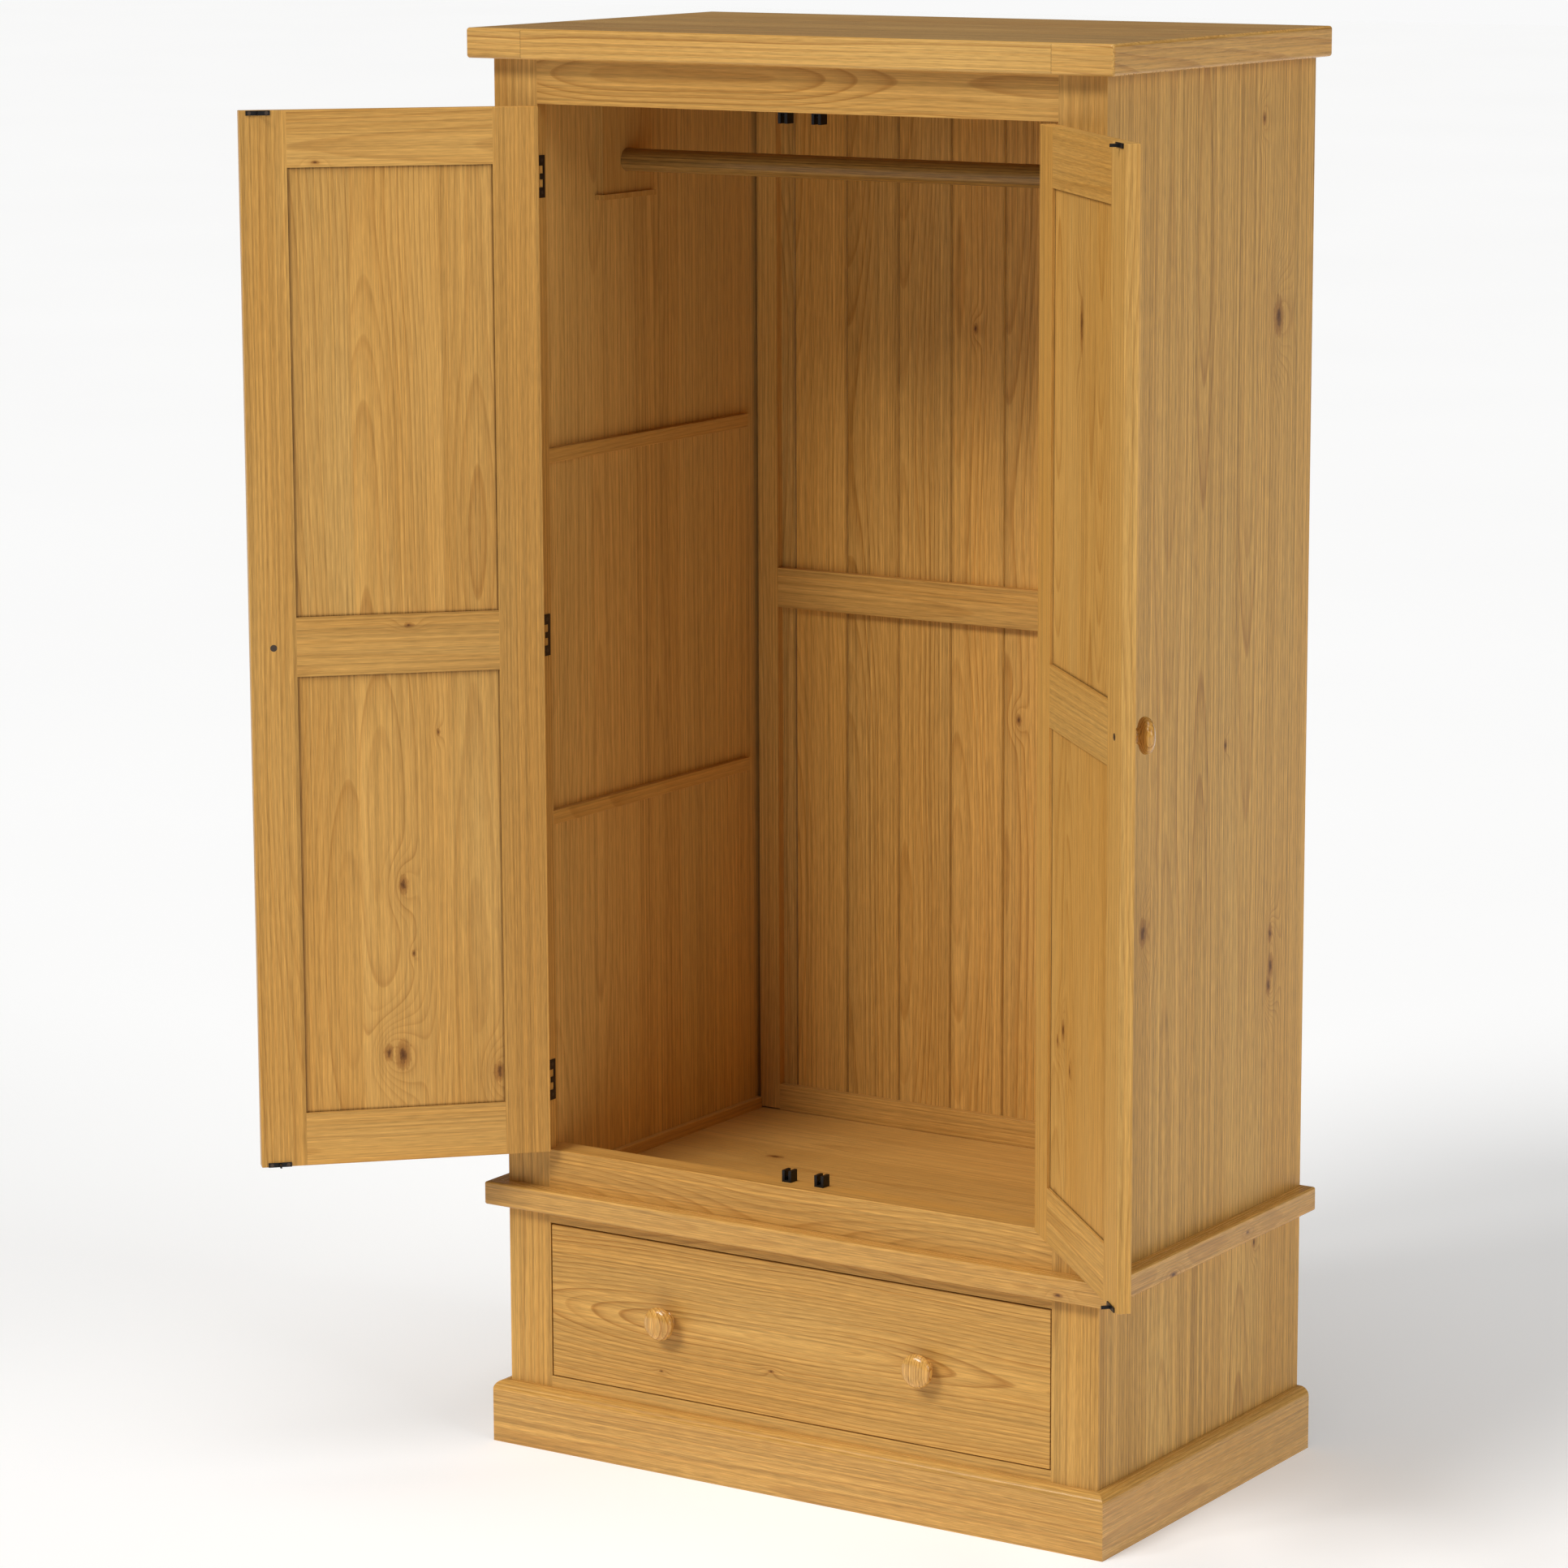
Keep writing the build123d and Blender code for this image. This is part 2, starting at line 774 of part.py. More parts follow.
def door_pieces():
    """Every piece of the left door in its closed place."""
    mortises = [cut for span in rail_spans.values() for cut in door_tenons(*span, joint_clearance)]
    screw_hole = knob_screw(knob_x, door_back, door_middle, knob_screw_length, screw_play)
    pieces = {
        "hinge_stile": door_frame_piece(
            block(-door_edge, stile_inner, front, door_back, door_bottom, door_top),
            mortises + leaf_screws(screw_play),
        ),
        "lock_stile": door_frame_piece(
            block(lock_inner, -door_edge + door_width, front, door_back, door_bottom, door_top),
            mortises + striker_screws(screw_play) + [screw_hole],
        ),
    }
    for name, (z0, z1) in rail_spans.items():
        rail = block(stile_inner, lock_inner, front, door_back, z0, z1)
        rail = door_frame_piece(rail, striker_screws(screw_play))
        for tenon in door_tenons(z0, z1):
            rail += tenon
        pieces[f"{name}_rail"] = rail - screw_hole
    half = door_panel_thickness / 2
    reach = door_groove_depth - door_panel_shrinkage
    for name, (z0, z1) in zip(("lower", "upper"), panel_spans):
        pieces[f"{name}_panel"] = block(
            stile_inner - reach,
            lock_inner + reach,
            door_centre_y - half,
            door_centre_y + half,
            z0 - reach,
            z1 + reach,
        )
    pieces["knob"] = knob(knob_x, front, door_middle, door_thickness)
    pieces["hinge_leaves"] = group([door_leaf(z) for z in hinge_heights])
    pieces["strikers"] = group(strikers())
    screws = leaf_screws() + striker_screws()
    screws.append(knob_screw(knob_x, door_back, door_middle, knob_screw_length))
    pieces["screws"] = group(screws)
    return pieces


def opened(shape):
    """Swing a closed left-door piece to the open angle that the door rests at."""
    return shape.rotate(Axis((-hinge_axis_x, hinge_axis_y, 0), (0, 0, 1)), -door_open_angle)


# ---------------------------------------------------------------- drawer
drawer_half = half_opening - drawer_side_gap
drawer_bottom = drawer_opening_bottom + drawer_foot_gap
drawer_top = drawer_opening_top - drawer_head_gap
drawer_front_back = front + drawer_front_thickness
drawer_side_outer = drawer_half - drawer_side_inset
drawer_side_inner = drawer_side_outer - drawer_side_thickness
drawer_end = drawer_front_back + drawer_side_length
panel_z0 = drawer_bottom + drawer_bottom_rise
panel_z1 = panel_z0 + drawer_bottom_thickness
drawer_knob_z = (drawer_bottom + drawer_top) / 2
drawer_side_height = drawer_top - drawer_bottom - drawer_side_drop
tail_pitch = drawer_side_height / dovetail_count


def dovetails(play=0.0):
    """The tails of the left drawer side, or with play their sockets in the drawer front."""
    tails = []
    tip = drawer_front_back - dovetail_length - play
    for k in range(dovetail_count):
        middle = drawer_bottom + tail_pitch * (k + 0.5)
        root = tail_pitch * dovetail_root_share / 2 + play
        flare = root + dovetail_flare
        face = make_face(
            Polyline(
                (drawer_front_back, middle - root),
                (tip, middle - flare),
                (tip, middle + flare),
                (drawer_front_back, middle + root),
                close=True,
            )
        )
        tail = Plane.YZ * face
        x0 = -drawer_side_outer - (drawer_side_inset if play else 0)
        width = -drawer_side_inner - x0 + play
        tails.append(Pos(x0, 0, 0) * extrude(tail, width, dir=(1, 0, 0)))
    return tails


def bottom_room(play):
    """The drawer bottom with the room around it that its grooves need."""
    reach = drawer_side_inner + drawer_groove_depth + play
    return block(
        -reach,
        reach,
        drawer_front_back - drawer_groove_depth - play,
        drawer_end + play,
        panel_z0 - play,
        panel_z1 + play,
    )


def drawer_screws(play=0.0):
    """The screws of the two drawer knobs."""
    return [
        knob_screw(side * drawer_knob_spacing / 2, drawer_front_back, drawer_knob_z, knob_screw_length, play)
        for side in (-1, 1)
    ]


def drawer_front():
    """The front, with lapped dovetail sockets, a groove for the bottom and holes for the knobs."""
    piece = block(-drawer_half, drawer_half, front, drawer_front_back, drawer_bottom, drawer_top)
    piece = rounded(piece, lambda p: same(p.Y, front) or same(abs(p.X), drawer_half))
    for socket in dovetails(drawer_play):
        piece -= socket
        piece -= mirrored(socket)
    piece -= bottom_room(drawer_play)
    for hole in drawer_screws(screw_play):
        piece -= hole
    return piece


def drawer_side():
    """The left side, with its tails and the grooves for the bottom and the back."""
    z1 = drawer_bottom + drawer_side_height
    side = block(-drawer_side_outer, -drawer_side_inner, drawer_front_back, drawer_end, drawer_bottom, z1)
    for tail in dovetails():
        side += tail
    side -= bottom_room(drawer_play)
    back_y1 = drawer_end - drawer_back_thickness
    side -= block(
        -drawer_side_inner - drawer_groove_depth,
        -drawer_side_inner,
        back_y1 - drawer_back_thickness - drawer_play,
        back_y1 + drawer_play,
        panel_z1,
        z1,
    )
    return side


def drawer_back():
    """The back, housed in the sides above the bottom."""
    y1 = drawer_end - drawer_back_thickness
    reach = drawer_side_inner + drawer_groove_depth - drawer_play
    z1 = drawer_bottom + drawer_side_height - drawer_play
    return block(-reach, reach, y1 - drawer_back_thickness, y1, panel_z1 + drawer_play, z1)


def drawer_runner():
    """The left runner, the guide beside the drawer and the stop behind it."""
    top = drawer_bottom - runner_gap
    y0 = front + drawer_rail_depth
    guide_face = drawer_side_outer + guide_gap
    stop_front = drawer_end + runner_gap
    stop_back = stop_front + stop_length
    runner = block(-wall_face, -wall_face + runner_width, y0, boards_front, top - runner_thickness, top)
    guide = block(-wall_face, -guide_face, y0, boards_front, top, top + guide_height)
    stop = block(-guide_face, -drawer_side_inner, stop_front, stop_back, top, top + stop_height)
    return group([runner, guide, stop])


# ---------------------------------------------------------------- write the nodes
save("top_board", top_board())
save_pair("front_stile", front_stile())
save("head_rail", face_rail(head_bottom, top_underside))
save("sill_rail", face_rail(drawer_opening_top, sill_top))
save("drawer_rail", drawer_rail())
save_pair("outer_side", block(-half_body, -outer_side_face, frame_back, 0, foot_clearance, top_underside))
save_pair("inner_side", inner_side())
frame = side_frame()
save("side_frames", group([frame, mirrored(frame)]))
save("cabinet_floor", cabinet_floor())
save("wall_strips", wall_strips())
save("catch_backings", group([backing(sill_top - backing_section), backing(head_bottom)]))

save("back_boards", back_boards())
save_pair("back_stile", back_stile())
back_rails = [
    back_rail(floor_top, floor_top + back_foot_rail_height),
    back_rail(back_mid_rail_bottom, back_mid_rail_bottom + back_mid_rail_height),
    back_rail(top_underside - back_head_rail_height, top_underside),
]
save("back_rails", group(back_rails))

plinth_edges = (plinth_projection, [plinth_height], plinth_edge_radius)
save("plinth_front", eased(mitred_front(plinth_projection, 0, plinth_height), *plinth_edges))
save_pair("plinth_side", eased(mitred_side(plinth_projection, 0, plinth_height), *plinth_edges))
save("plinth_back", plinth_back())
waist_bottom = waist_top - waist_height
waist_edges = (waist_projection, [waist_bottom, waist_top], waist_edge_radius)
waist_front = eased(mitred_front(waist_projection, waist_bottom, waist_top), *waist_edges)
waist_side = eased(mitred_side(waist_projection, waist_bottom, waist_top), *waist_edges)
save("waist_moulding", group([waist_front, waist_side, mirrored(waist_side)]))

save_pair("rail_support", rail_support())
save("hanging_rail", hanging_rail())

catches = [catch_case(sill_top, 1), catch_case(head_bottom, -1)] + catch_balls()
save("ball_catches", group(catches + [mirrored(piece) for piece in catches]))
leaves = [frame_leaf(z) for z in hinge_heights]
leaf_holes = frame_screws(screw_play)
hinges = [leaf - leaf_holes for leaf in leaves] + [hinge_pin(z) for z in hinge_heights]
save("frame_hinges", group(hinges + [mirrored(piece) for piece in hinges]))
frame_screw_list = frame_screws()
save("frame_screws", group(frame_screw_list + [mirrored(piece) for piece in frame_screw_list]))

door_holes = leaf_screws(screw_play)
for piece_name, piece in door_pieces().items():
    if piece_name == "hinge_leaves":
        piece = group([leaf - door_holes for leaf in piece.solids()])
    piece = opened(piece)
    save(f"left_door_{piece_name}", piece)
    save(f"right_door_{piece_name}", mirrored(piece))

save("drawer_front", drawer_front())
save_pair("drawer_side", drawer_side())
save("drawer_back", drawer_back())
save("drawer_bottom", bottom_room(0.0))
knob_places = [side * drawer_knob_spacing / 2 for side in (-1, 1)]
knobs = [knob(x, front, drawer_knob_z, drawer_front_thickness) for x in knob_places]
save("drawer_knobs", group(knobs))
save("drawer_screws", group(drawer_screws()))
save_pair("drawer_runner", drawer_runner())
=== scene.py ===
import json
import math

import bpy
from mathutils import Matrix, Vector


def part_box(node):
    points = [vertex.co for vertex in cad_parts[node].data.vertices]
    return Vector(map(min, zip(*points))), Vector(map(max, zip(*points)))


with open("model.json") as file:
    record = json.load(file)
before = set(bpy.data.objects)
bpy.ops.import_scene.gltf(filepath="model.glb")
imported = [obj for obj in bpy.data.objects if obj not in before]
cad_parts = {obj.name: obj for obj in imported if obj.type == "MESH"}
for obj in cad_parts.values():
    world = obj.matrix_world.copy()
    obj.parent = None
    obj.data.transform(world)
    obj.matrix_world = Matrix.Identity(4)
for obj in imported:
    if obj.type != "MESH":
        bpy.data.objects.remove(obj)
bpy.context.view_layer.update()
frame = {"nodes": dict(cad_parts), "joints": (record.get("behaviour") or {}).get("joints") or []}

# Metres, +Z up, the wardrobe's front faces -Y and its back stands in the plane Y = 0.
X = Vector((1, 0, 0))
Y = Vector((0, 1, 0))
Z = Vector((0, 0, 1))


# ---------------------------------------------------------------- places on the wardrobe
front_stile_low, front_stile_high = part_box("front_stile_right")
front_y = front_stile_low.y
half_body = front_stile_high.x

# Where the top board's end faces and front edge begin, a little inside its box, and where the block
# at each end of that edge begins.
top_low, top_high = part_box("top_board")
top_end = top_high.x - 0.0005
top_front = top_low.y + 0.0008
top_block_start = 0.3935

# The widths of the boards that panels are made of, and where the doors' boards are counted from.
back_board = 0.084
side_board = 0.1048
top_strip = 0.095
floor_strip = 0.1
door_board = 0.118
door_board_start = 0.012
drawer_bottom_board = 0.12


def reach(node, direction, origin):
    """How far a CAD node reaches along a direction, from an origin at the floor: lowest and highest."""
    start = Vector((origin.x, origin.y, 0)).dot(direction)
    spread = [vertex.co.dot(direction) - start for vertex in frame["nodes"][node].data.vertices]
    return min(spread), max(spread)


def door_axes(side):
    """The hinge axis of a door at rest, and the direction in which its width runs from there."""
    joint_named = {joint["name"]: joint for joint in frame["joints"]}
    hinge = Vector(joint_named[f"{side}_door_hinge"]["pos_m"])
    stile_low, stile_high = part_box(f"{side}_door_lock_stile")
    width = Vector((-1 if side == "left" else 1, -1, 0)).normalized()
    assert ((stile_low + stile_high) / 2 - hinge).dot(width) > 0
    return hinge, width


# ---------------------------------------------------------------- shader building
class Graph:
    """A material's node tree, with short calls for the nodes that the shaders here use."""

    def __init__(self, name):
        self.material = bpy.data.materials.new(name)
        self.material.use_nodes = True
        self.tree = self.material.node_tree
        self.shader = self.tree.nodes["Principled BSDF"]
        self.place = self.node("ShaderNodeTexCoord").outputs["Object"]

    def node(self, kind, **settings):
        made = self.tree.nodes.new(kind)
        for key, value in settings.items():
            setattr(made, key, value)
        return made

    def put(self, value, socket):
        """Link an output to a socket, or set the socket's own value."""
        if isinstance(value, bpy.types.NodeSocket):
            self.tree.links.new(value, socket)
        else:
            socket.default_value = value

    def math(self, operation, *values, clamp=False):
        made = self.node("ShaderNodeMath", operation=operation, use_clamp=clamp)
        for value, socket in zip(values, made.inputs):
            self.put(value, socket)
        return made.outputs[0]

    def add(self, *values, clamp=False):
        total = values[0]
        for value in values[1:-1]:
            total = self.math("ADD", total, value)
        return self.math("ADD", total, values[-1], clamp=clamp)

    def minus(self, a, b):
        return self.math("SUBTRACT", a, b)

    def times(self, a, b, clamp=False):
        return self.math("MULTIPLY", a, b, clamp=clamp)

    def absolute(self, value):
        return self.math("ABSOLUTE", value)

    def dot(self, vector, direction):
        made = self.node("ShaderNodeVectorMath", operation="DOT_PRODUCT")
        self.put(vector, made.inputs[0])
        self.put(tuple(direction), made.inputs[1])
        return made.outputs["Value"]

    def join(self, x, y, z):
        made = self.node("ShaderNodeCombineXYZ")
        for value, socket in zip((x, y, z), made.inputs):
            self.put(value, socket)
        return made.outputs[0]

    def split(self, vector):
        made = self.node("ShaderNodeSeparateXYZ")
        self.put(vector, made.inputs[0])
        return made.outputs

    def length(self, x, y):
        made = self.node("ShaderNodeVectorMath", operation="LENGTH")
        self.put(self.join(x, y, 0.0), made.inputs[0])
        return made.outputs["Value"]

    def noise(self, vector, scale=1.0, detail=2.0, roughness=0.5):
        """Noise of about -0.5 to 0.5."""
        made = self.node("ShaderNodeTexNoise")
        self.put(vector, made.inputs["Vector"])
        made.inputs["Scale"].default_value = scale
        made.inputs["Detail"].default_value = detail
        made.inputs["Roughness"].default_value = roughness
        return self.minus(made.outputs[0], 0.5)

    def random(self, value):
        """Three random numbers from 0 to 1 for a number."""
        made = self.node("ShaderNodeTexWhiteNoise", noise_dimensions="1D")
        self.put(value, made.inputs["W"])
        return self.split(made.outputs["Color"])

    def ramp(self, value, stops, smooth=False):
        """A level that follows a value, from (position, level) stops."""
        made = self.node("ShaderNodeValToRGB")
        made.color_ramp.interpolation = "EASE" if smooth else "LINEAR"
        elements = made.color_ramp.elements
        while len(elements) < len(stops):
            elements.new(0.5)
        for element, (position, level) in zip(elements, stops):
            element.position = position
            element.color = (level, level, level, 1)
        self.put(value, made.inputs[0])
        return made.outputs[0]

    def mix(self, share, a, b):
        """Colour a where share is 0 and colour b where it is 1."""
        made = self.node("ShaderNodeMix", data_type="RGBA", blend_type="MIX")
        self.put(share, made.inputs[0])
        for value, socket in ((a, made.inputs[6]), (b, made.inputs[7])):
            self.put((*value, 1) if isinstance(value, tuple) else value, socket)
        return made.outputs[2]

    def pick(self, share, a, b):
        """Number a where share is 0 and number b where it is 1."""
        return self.add(self.times(a, self.minus(1.0, share)), self.times(b, share))

    def bump(self, height, distance):
        made = self.node("ShaderNodeBump")
        made.inputs["Distance"].default_value = distance
        made.inputs["Strength"].default_value = 1.0
        self.put(height, made.inputs["Height"])
        self.put(made.outputs[0], self.shader.inputs["Normal"])


def linear(red, green, blue):
    """A colour given in display values from 0 to 255, as linear light."""
    shares = [value / 255 for value in (red, green, blue)]
    return tuple(c / 12.92 if c < 0.0404 else ((c + 0.055) / 1.055) ** 2.4 for c in shares)


# ---------------------------------------------------------------- pine
PALE = linear(207, 163, 92)
MID = linear(190, 143, 72)
DARK = linear(142, 92, 36)
WARM = linear(196, 138, 58)
KNOT_RIM = linear(132, 78, 26)
KNOT_CORE = linear(70, 36, 14)

# Levels that follow a place: in a growth ring from early to late wood, in a knot and its core from
# the middle outwards, beside a joint from the edge inwards, and in the painted shade inside a panel's
# rim, which stands for the shadow of its recess, from the edge inwards.
RING_LEVELS = [(0.0, 0.0), (0.35, 0.08), (0.72, 0.45), (0.88, 1.0), (0.96, 0.7), (1.0, 0.0)]
KNOT_RIM_LEVELS = [(0.0, 0.9), (0.5, 0.75), (0.85, 0.5), (1.0, 0.0)]
KNOT_CORE_LEVELS = [(0.0, 0.9), (0.55, 0.6), (1.0, 0.0)]
JOINT_LEVELS = [(0.0, 1.0), (0.35, 0.55), (1.0, 0.0)]
PAINTED_RIM_LEVELS = [(0.0, 1.0), (0.4, 0.5), (1.0, 0.0)]

# The noise of the wood, as waves in a metre across the grain, through the board and along it, and how
# far apart the paths of two boards' trunks are.
WAVER_WAVES = (9.0, 9.0, 1.6)
PATCH_WAVES = (7.0, 1.0, 1.1)
FIBRE_WAVES = (900.0, 900.0, 34.0)
STREAK_WAVES = (110.0, 110.0, 1.8)
VEIN_WAVES = (400.0, 400.0, 0.8)
RAGGED_WAVES = (220.0, 1.0, 120.0)
PATH_SPREAD = 9.0

# How strongly streaks, patches, boards and knots show in the colour, and the shares of mid and warm
# wood where none of them shows.
STREAK_SHARE = 1.1
PATCH_SHARE = 0.9
BOARD_SHARE = 2.3
KNOT_RIM_SHARE = 0.85
KNOT_CORE_SHARE = 0.9
MID_SHARE = 0.42
WARM_SHARE = 0.12

# How strongly fibres and veins show in the lightness.
FIBRE_LEVEL = 0.55
VEIN_LEVEL = 0.5

# How far the shade beside a joint and the painted shade inside a panel's rim (for the shadow of its
# recess) reach, half the width of the seam beside an end block, and how dark the painted rim shade and
# the seam are.
JOINT_REACH = 0.004
PAINTED_RIM_REACH = 0.0035
SEAM_REACH = 0.0006
PAINTED_RIM_SHADE = 0.75
SEAM_SHADE = 0.35

# What keeps the random numbers of boards, growth rings and turned stretches of grain apart.
BOARD_STEP = 7.31
RING_STEP = 3.7
TRUNK_SPREAD = 23.0
TURNED_START = 3.1
END_GRAIN_START = 5.3
BLOCK_START = 7.7

# How far a piece of one board is shifted at random to the side of the trunk's middle, from end to end.
LONE_SPREAD = 0.06

# Knots: how many radii one pushes the rings aside, how fast that fades, how ragged its edge is, how
# strong the halo round it is, and how far it is drawn out along the grain.
KNOT_PUSH = 2.4
KNOT_FADE = -0.16
KNOT_RAGGED = 0.9
KNOT_HALO = 0.16
KNOT_STRETCH = 2.0

# The surface: roughness without wax, what wax takes off it, and the height of its relief.
BARE_ROUGHNESS = 0.42
WAX_SHINE = 0.5
WOOD_SPECULAR = 0.2
WAX_ROUGHNESS = 0.16
RELIEF = 0.00012


class Pine(Graph):
    """The wood of one piece, built up step by step.

    across, along and depth are a point's place across the grain, along it and through the board.
    """

    def __init__(self, name, along, across, seed, origin, face):
        super().__init__(name)
        self.seed = seed
        offset = self.node("ShaderNodeVectorMath", operation="SUBTRACT")
        self.put(self.place, offset.inputs[0])
        offset.inputs[1].default_value = origin
        place = offset.outputs[0]
        self.across = self.dot(place, across)
        self.along = self.dot(place, along)
        self.depth = self.minus(self.dot(place, across.cross(along)), face)
        self.seam = None

    def turn_at_mitres(self):
        """Let the grain of a moulding turn at the front corners, where its lengths are mitred."""
        x, y, _ = self.split(self.place)
        beyond = self.minus(self.absolute(x), half_body)
        side = self.math("GREATER_THAN", beyond, self.minus(front_y, y))
        self.along = self.pick(side, x, self.add(y, TURNED_START))
        self.depth = self.pick(side, self.minus(y, front_y), beyond)

    def turn_at_ends(self, end):
        """Beyond end, to either side of the middle, let the grain run front to back."""
        x, y, z = self.split(self.place)
        turned = self.math("GREATER_THAN", self.absolute(x), end)
        self.across = self.pick(turned, self.across, self.add(z, END_GRAIN_START))
        self.along = self.pick(turned, self.along, self.add(y, TURNED_START))
        self.depth = self.pick(turned, self.depth, self.minus(self.absolute(x), end))

    def set_end_blocks(self, front, start):
        """In front of y = front and beyond x = start, to either side, begin another board."""
        x, y, _ = self.split(self.place)
        edge = self.math("LESS_THAN", y, front)
        beyond = self.minus(self.absolute(x), start)
        block = self.times(edge, self.math("GREATER_THAN", beyond, 0.0))
        self.along = self.add(self.along, self.times(block, BLOCK_START))
        self.seam = self.times(edge, self.math("LESS_THAN", self.absolute(beyond), SEAM_REACH))

    def set_boards(self, board, board_start, middle):
        """Give each board its own random numbers, and find a point's place across its board."""
        if board:
            index = self.math("FLOOR", self.math("DIVIDE", self.minus(self.across, board_start), board))
            centre = self.add(self.times(index, board), board_start + board / 2)
            self.chance = self.random(self.add(index, self.seed * BOARD_STEP))
            self.local = self.minus(self.across, centre)
        else:
            self.chance = self.random(self.seed * BOARD_STEP)
            self.local = self.minus(self.across, middle)
        self.shift = self.times(self.minus(self.chance[0], 0.5), board or LONE_SPREAD)
        self.run = self.add(self.along, self.times(self.chance[2], TRUNK_SPREAD))

    def grain_noise(self, waves, detail=2.0, roughness=0.5, run=None):
        """Noise with so many waves in a metre across the grain, through the board and along it.

        run is the place along the grain, if not the one that differs between boards.
        """
        places = (self.across, self.depth, self.run if run is None else run)
        vector = self.join(*[self.times(place, number) for place, number in zip(places, waves)])
        return self.noise(vector, 1.0, detail, roughness)

    def grow_trunk(self, pith, drift, aside, wave, roam):
        """Find the distance from the middle of a trunk that wanders under the board."""
        path = self.join(self.times(self.chance[1], PATH_SPREAD), self.times(self.run, roam), self.seed)
        wander = self.noise(path, 1.0, 1.0)
        self.waver = self.grain_noise(WAVER_WAVES)
        sideways = self.add(self.local, self.shift, self.times(self.waver, wave), aside)
        pith_depth = self.add(self.depth, pith / 2, self.times(self.chance[1], pith))
        self.radius = self.length(sideways, self.add(pith_depth, self.times(wander, drift * 2)))

    def grow_knots(self, knots):
        """Let knots push the rings aside, and find their dark rims and cores."""
        self.knot_rim = 0.0
        self.knot_core = 0.0
        ragged = self.grain_noise(RAGGED_WAVES, 3.0, 0.65, run=self.along)
        for knot_across, knot_along, knot_radius, *own_stretch in knots:
            stretch = own_stretch[0] if own_stretch else KNOT_STRETCH
            aside = self.minus(self.across, knot_across)
            ahead = self.math("DIVIDE", self.minus(self.along, knot_along), stretch)
            away = self.math("DIVIDE", self.length(aside, ahead), knot_radius)
            fall = self.math("EXPONENT", self.times(self.times(away, away), KNOT_FADE))
            self.radius = self.add(self.radius, self.times(fall, knot_radius * KNOT_PUSH))
            rough_away = self.add(away, self.times(ragged, KNOT_RAGGED))
            rim = self.ramp(rough_away, KNOT_RIM_LEVELS, smooth=True)
            core = self.ramp(self.times(rough_away, 2.0), KNOT_CORE_LEVELS, smooth=True)
            rim = self.math("MAXIMUM", rim, self.times(fall, KNOT_HALO))
            self.knot_rim = self.math("MAXIMUM", rim, self.knot_rim)
            self.knot_core = self.math("MAXIMUM", core, self.knot_core)

    def grow_rings(self, ring):
        """Find the growth rings, each with a strength of its own and all stronger in patches."""
        phase = self.add(self.math("DIVIDE", self.radius, ring), self.times(self.waver, 1.5))
        late = self.ramp(self.math("FRACT", phase), RING_LEVELS)
        chance = self.random(self.add(self.math("FLOOR", phase), self.seed * RING_STEP))[0]
        strength = self.add(0.45, self.times(chance, 0.75))
        self.patch = self.grain_noise(PATCH_WAVES)
        self.rings = self.times(self.times(late, strength), self.add(0.82, self.times(self.patch, 1.5)))

    def grow_fibres(self):
        """Find the short fibres, the long fine veins and the broad streaks."""
        self.fibre = self.grain_noise(FIBRE_WAVES, 2.0, 0.6)
        self.streak = self.grain_noise(STREAK_WAVES, 3.0, 0.6)
        self.vein = self.grain_noise(VEIN_WAVES, 1.0, 0.5)

    def wood_colour(self, contrast, vary, warmth):
        """Pale and mid streaks under dark rings, with warm patches and the knots over them."""
        plain = [(pale + mid) / 2 for pale, mid in zip(PALE, MID)]
        warm = tuple(w * warmth + p * (1 - warmth) for w, p in zip(WARM, plain))
        patched = self.times(self.patch, PATCH_SHARE)
        streaked = self.times(self.streak, STREAK_SHARE)
        colour = self.mix(self.add(MID_SHARE, self.add(streaked, patched), clamp=True), PALE, MID)
        colour = self.mix(self.times(self.rings, contrast, clamp=True), colour, DARK)
        boards = self.times(self.chance[0], vary * BOARD_SHARE)
        colour = self.mix(self.add(WARM_SHARE, self.add(boards, patched), clamp=True), colour, warm)
        colour = self.mix(self.times(self.knot_rim, KNOT_RIM_SHARE, clamp=True), colour, KNOT_RIM)
        return self.mix(self.times(self.knot_core, KNOT_CORE_SHARE, clamp=True), colour, KNOT_CORE)

    def wood_level(self, tone, fine, vary):
        """How light the wood is: its tone, its fibres and the difference between boards."""
        board_tone = self.minus(self.chance[2], 0.5)
        fibres = self.times(self.fibre, FIBRE_LEVEL * fine)
        veins = self.times(self.vein, VEIN_LEVEL * fine)
        return self.add(tone, fibres, veins, self.times(board_tone, vary))

    def joint_shade(self, board):
        """The dark line where two boards meet."""
        near = self.minus(board / 2, self.absolute(self.local))
        return self.ramp(self.times(near, 1 / JOINT_REACH), JOINT_LEVELS)

    def painted_rim_shade(self, rim):
        """Painted shade round a panel, inside the opening that it fills: the shadow of its recess, painted
        as a dark line.
        """
        near = []
        for place, low, high in ((self.across, rim[0], rim[1]), (self.along, rim[2], rim[3])):
            near.append(self.math("MINIMUM", self.minus(place, low), self.minus(high, place)))
        nearest = self.math("MINIMUM", *near)
        return self.ramp(self.times(nearest, 1 / PAINTED_RIM_REACH), PAINTED_RIM_LEVELS)

    def finish(self, colour, level, gloss):
        """Colour the shader, and give it wax and the relief of fibres and rings."""
        scale = self.node("ShaderNodeVectorMath", operation="SCALE")
        self.put(colour, scale.inputs[0])
        self.put(level, scale.inputs["Scale"])
        self.put(scale.outputs[0], self.shader.inputs["Base Color"])
        roughness = self.add(BARE_ROUGHNESS - gloss * WAX_SHINE, self.times(self.fibre, 0.16),
                             self.times(self.rings, -0.05))
        self.put(roughness, self.shader.inputs["Roughness"])
        self.shader.inputs["Specular IOR Level"].default_value = WOOD_SPECULAR
        self.shader.inputs["Coat Weight"].default_value = gloss
        self.shader.inputs["Coat Roughness"].default_value = WAX_ROUGHNESS
        self.bump(self.add(self.times(self.fibre, 0.5), self.times(self.rings, -0.5)), RELIEF)


